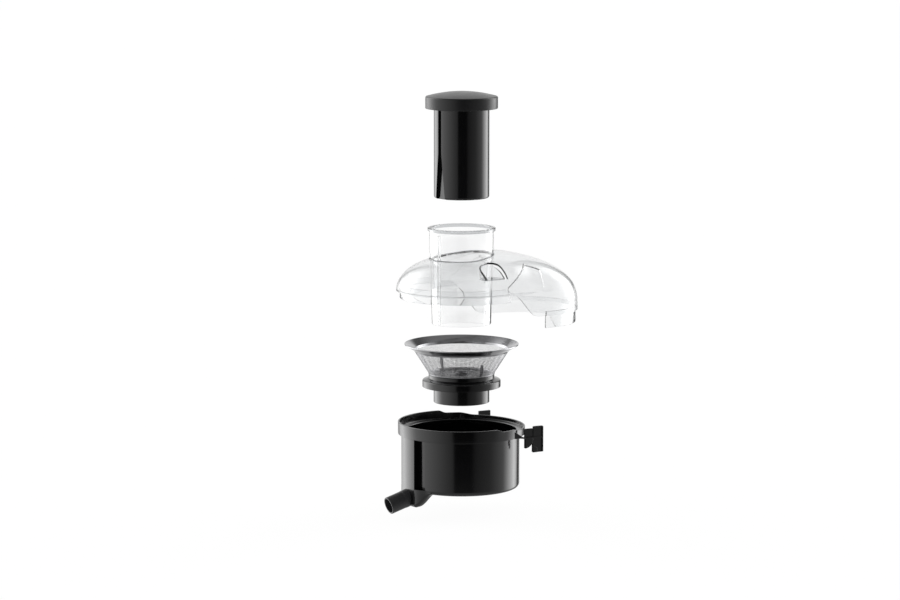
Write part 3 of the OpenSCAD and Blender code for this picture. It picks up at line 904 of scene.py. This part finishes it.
def floor():
    """Pale floor that glows, so that it melts into the white background."""
    s = 60.0
    me = bpy.data.meshes.new("floor")
    me.from_pydata([(-s, -s, 0), (s, -s, 0), (s, s, 0), (-s, s, 0)], [], [(0, 1, 2, 3)])
    ob = bpy.data.objects.new("floor", me)
    bpy.context.scene.collection.objects.link(ob)
    ob.location.z = FLOOR_Z
    mat = bpy.data.materials.new("floor")
    mat.use_nodes = True
    t = mat.node_tree
    t.nodes.clear()
    out = t.nodes.new("ShaderNodeOutputMaterial")
    add = t.nodes.new("ShaderNodeAddShader")
    em = t.nodes.new("ShaderNodeEmission")
    em.inputs[0].default_value = (1, 1, 1, 1)
    em.inputs[1].default_value = FLOOR_GLOW
    df = t.nodes.new("ShaderNodeBsdfDiffuse")
    df.inputs[0].default_value = (0.06, 0.06, 0.06, 1)
    t.links.new(em.outputs[0], add.inputs[0])
    t.links.new(df.outputs[0], add.inputs[1])
    t.links.new(add.outputs[0], out.inputs[0])
    me.materials.append(mat)
    ob.visible_glossy = False


# brightness of the room by the angle from the camera's direction, in degrees, with the right positive
BEHIND = 0.22
DARK = 0.004
LEFT_PANEL = [(-160, 0.06), (-148, 0.42), (-132, 0.80), (-112, 0.68), (-90, 0.34), (-58, 0.22), (-30, 0.11)]
RIGHT_PANEL = [(60, 0.07), (92, 0.20), (110, 0.70), (128, 0.95), (138, 0.55), (147, 0.03), (160, 0.03)]
CAMERA_SIDE = [(-17, 0.07), (-14, DARK), (20, DARK), (28, 0.03)]
ROOM = [(-180, BEHIND), (-164, BEHIND)] + LEFT_PANEL + CAMERA_SIDE + RIGHT_PANEL
ROOM += [(164, BEHIND), (180, BEHIND)]
ROOM_LIGHT = 4.2
CEILING_LIGHT = 0.32
TABLE_LIGHT = 0.45


def studio():
    """Soft panels left and right of the object, dark on the camera's side, white where seen directly."""
    w = bpy.data.worlds.new("studio")
    bpy.context.scene.world = w
    w.use_nodes = True
    t = w.node_tree
    t.nodes.clear()

    def node(kind, **props):
        n = t.nodes.new(kind)
        for k, v in props.items():
            setattr(n, k, v)
        return n

    def dot(direction):
        """Share of the ray that points along a direction."""
        n = node("ShaderNodeVectorMath", operation="DOT_PRODUCT")
        n.inputs[1].default_value = direction
        t.links.new(co.outputs["Generated"], n.inputs[0])
        return n.outputs["Value"]

    def math_node(kind, a, b):
        n = node("ShaderNodeMath", operation=kind)
        t.links.new(a, n.inputs[0])
        if isinstance(b, float):
            n.inputs[1].default_value = b
        else:
            t.links.new(b, n.inputs[1])
        return n.outputs[0]

    def span(src, lo, hi, kind="LINEAR"):
        """Maps the range lo to hi onto 0 to 1."""
        n = node("ShaderNodeMapRange", interpolation_type=kind)
        n.inputs["From Min"].default_value = lo
        n.inputs["From Max"].default_value = hi
        t.links.new(src, n.inputs[0])
        return n.outputs[0]

    def light(strength):
        n = node("ShaderNodeBackground")
        n.inputs[0].default_value = (1, 1, 1, 1)
        n.inputs[1].default_value = strength
        return n

    def blend(share, a, b):
        n = node("ShaderNodeMixShader")
        t.links.new(share, n.inputs[0])
        t.links.new(a.outputs[0], n.inputs[1])
        t.links.new(b.outputs[0], n.inputs[2])
        return n

    co = node("ShaderNodeTexCoord")
    turn = math_node("ARCTAN2", dot(right), dot(view_dir))
    ramp = node("ShaderNodeValToRGB")
    cr = ramp.color_ramp
    while len(cr.elements) > 1:
        cr.elements.remove(cr.elements[-1])
    for i, (a, v) in enumerate(ROOM):
        place = (a + 180) / 360
        e = cr.elements[0] if i == 0 else cr.elements.new(place)
        e.position = place
        e.color = (v, v, v, 1)
    t.links.new(span(turn, -math.pi, math.pi), ramp.inputs[0])
    panels = light(ROOM_LIGHT)
    t.links.new(ramp.outputs[0], panels.inputs[0])

    up = node("ShaderNodeSeparateXYZ")
    t.links.new(co.outputs["Generated"], up.inputs[0])
    high = span(up.outputs[2], 0.55, 0.85, "SMOOTHSTEP")
    low = span(up.outputs[2], -0.25, -0.7, "SMOOTHSTEP")
    room = blend(low, blend(high, panels, light(CEILING_LIGHT)), light(TABLE_LIGHT))

    # the camera sees white, also through clear parts, unless the ray was reflected on its way
    path = node("ShaderNodeLightPath")
    direct = math_node("LESS_THAN", path.outputs["Glossy Depth"], 0.5)
    through = math_node("MULTIPLY", path.outputs["Is Transmission Ray"], direct)
    seen = math_node("MAXIMUM", path.outputs["Is Camera Ray"], through)
    out = node("ShaderNodeOutputWorld")
    t.links.new(blend(seen, room, light(1.0)).outputs[0], out.inputs[0])


camera()
floor()
studio()
# clear pieces throw no shadow
for ob in bpy.data.objects:
    if ob.type == "MESH" and ob.data.materials and ob.data.materials[0] in (CLEAR, CHUTE, SHADED_CLEAR):
        ob.visible_shadow = False
vs = bpy.context.scene.view_settings
vs.view_transform = "Standard"
vs.look = "None"
